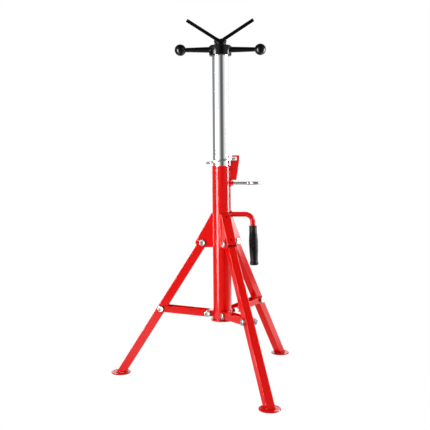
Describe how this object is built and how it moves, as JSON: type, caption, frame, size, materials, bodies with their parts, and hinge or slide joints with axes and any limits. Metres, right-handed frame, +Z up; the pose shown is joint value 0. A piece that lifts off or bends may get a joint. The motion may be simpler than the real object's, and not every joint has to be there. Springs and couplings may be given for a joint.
{
  "type": "pipe stand",
  "caption": "Folding tripod pipe stand with a sliding chromed mast, a lock plate and clamp screw, and a V saddle raised by a ball-handled jack nut.",
  "frame": {"origin": "on the floor, on the axis of the post", "axes": "+Z up along the post, +X towards the carry handle, the left leg along -X"},
  "size_m": [0.5015, 0.5704, 0.9905],
  "materials": {
    "red_enamel": "gloss",
    "black_enamel": "gloss",
    "chrome_tube": "polished",
    "zinc_plate": "bright zinc",
    "dark_steel": "oiled",
    "grip_rubber": "satin",
    "bearing_brass": "machined"
  },
  "bodies": {
    "stand": {"outer_tube": "red_enamel", "bottom_flange": "red_enamel", "leg_bracket_rear": "red_enamel", "leg_bracket_left": "red_enamel", "leg_bracket_front": "red_enamel", "leg_pivot_bolts": "zinc_plate", "leg_pivot_nuts": "zinc_plate", "hook_bracket": "red_enamel", "clamp_boss": "red_enamel", "handle_rod": "red_enamel", "handle_grip": "grip_rubber"},
    "leg_rear": {"leg_rear": "red_enamel", "foot_rear": "red_enamel"},
    "leg_left": {"leg_left": "red_enamel", "foot_left": "red_enamel"},
    "leg_front": {"leg_front": "red_enamel", "foot_front": "red_enamel"},
    "collar": {"collar_sleeve": "red_enamel", "collar_lugs": "red_enamel", "collar_bolts": "zinc_plate", "collar_nuts": "zinc_plate"},
    "brace_rear": {"brace_rear": "red_enamel", "brace_bolt_rear": "zinc_plate", "brace_nut_rear": "zinc_plate"},
    "brace_left": {"brace_left": "red_enamel", "brace_bolt_left": "zinc_plate", "brace_nut_left": "zinc_plate"},
    "brace_front": {"brace_front": "red_enamel", "brace_bolt_front": "zinc_plate", "brace_nut_front": "zinc_plate"},
    "mast": {"inner_tube": "chrome_tube"},
    "swivel": {"thrust_washer": "bearing_brass"},
    "head": {"v_saddle": "black_enamel", "saddle_boss": "black_enamel", "jack_screw": "dark_steel", "screw_stop": "dark_steel", "stop_screw": "dark_steel"},
    "hand_nut": {"hand_nut": "black_enamel", "turning_bar_left": "black_enamel", "turning_bar_right": "black_enamel", "ball_left": "black_enamel", "ball_right": "black_enamel"},
    "lock_plate": {"lock_plate": "zinc_plate"},
    "clamp_tip": {"clamp_tip": "bearing_brass"},
    "eye_screw": {"eye_screw": "zinc_plate"}
  },
  "joints": [
    {"name": "leg_left_fold", "type": "hinge", "parent": "stand", "child": "leg_left", "pos_m": [-0.0527, 0, 0.3814], "axis": [0, -1, 0], "range_deg": [0, 27]},
    {"name": "leg_rear_fold", "type": "hinge", "parent": "stand", "child": "leg_rear", "pos_m": [0.02635, 0.04564, 0.3814], "axis": [-0.866, 0.5, 0], "range_deg": [0, 27]},
    {"name": "leg_front_fold", "type": "hinge", "parent": "stand", "child": "leg_front", "pos_m": [0.02635, -0.04564, 0.3814], "axis": [0.866, 0.5, 0], "range_deg": [0, 27]},
    {"name": "collar_slide", "type": "slide", "parent": "stand", "child": "collar", "axis": [0, 0, 1], "range_m": [0, 0.1058]},
    {"name": "brace_left_swing", "type": "hinge", "parent": "collar", "child": "brace_left", "pos_m": [-0.0405, 0, 0.1816], "axis": [0, -1, 0], "range_deg": [0, 79.88]},
    {"name": "brace_rear_swing", "type": "hinge", "parent": "collar", "child": "brace_rear", "pos_m": [0.02025, 0.03507, 0.1816], "axis": [-0.866, 0.5, 0], "range_deg": [0, 79.88]},
    {"name": "brace_front_swing", "type": "hinge", "parent": "collar", "child": "brace_front", "pos_m": [0.02025, -0.03507, 0.1816], "axis": [0.866, 0.5, 0], "range_deg": [0, 79.88]},
    {"name": "mast_slide", "type": "slide", "parent": "stand", "child": "mast", "axis": [0, 0, 1], "range_m": [-0.268, 0.215]},
    {"name": "head_swivel", "type": "hinge", "parent": "mast", "child": "swivel", "pos_m": [0, 0, 0.9015], "axis": [0, 0, 1], "continuous": true},
    {"name": "jack_turn", "type": "hinge", "parent": "swivel", "child": "hand_nut", "pos_m": [0, 0, 0.9105], "axis": [0, 0, -1], "range_deg": [0, 7200]},
    {"name": "jack_lift", "type": "slide", "parent": "swivel", "child": "head", "axis": [0, 0, 1], "range_m": [0, 0.1]},
    {"name": "lock_release", "type": "hinge", "parent": "stand", "child": "lock_plate", "pos_m": [0.036, 0, 0.6137], "axis": [0, 1, 0], "range_deg": [0, 9]},
    {"name": "clamp_travel", "type": "slide", "parent": "stand", "child": "clamp_tip", "axis": [1, 0, 0], "range_m": [0, 0.005]},
    {"name": "eye_turn", "type": "hinge", "parent": "clamp_tip", "child": "eye_screw", "pos_m": [0.06, 0, 0.546], "axis": [1, 0, 0], "range_deg": [0, 1440]}
  ],
  "couplings": [
    {"joint": "leg_rear_fold", "follows": "leg_left_fold", "ratio": 1},
    {"joint": "leg_front_fold", "follows": "leg_left_fold", "ratio": 1},
    {"joint": "collar_slide", "follows": "leg_left_fold", "m_per_rad": 0.22452},
    {"joint": "brace_left_swing", "follows": "leg_left_fold", "ratio": 2.9584},
    {"joint": "brace_rear_swing", "follows": "leg_left_fold", "ratio": 2.9584},
    {"joint": "brace_front_swing", "follows": "leg_left_fold", "ratio": 2.9584},
    {"joint": "jack_lift", "follows": "jack_turn", "m_per_rad": 0.00079577},
    {"joint": "clamp_travel", "follows": "eye_turn", "m_per_rad": 0.00019894}
  ]
}
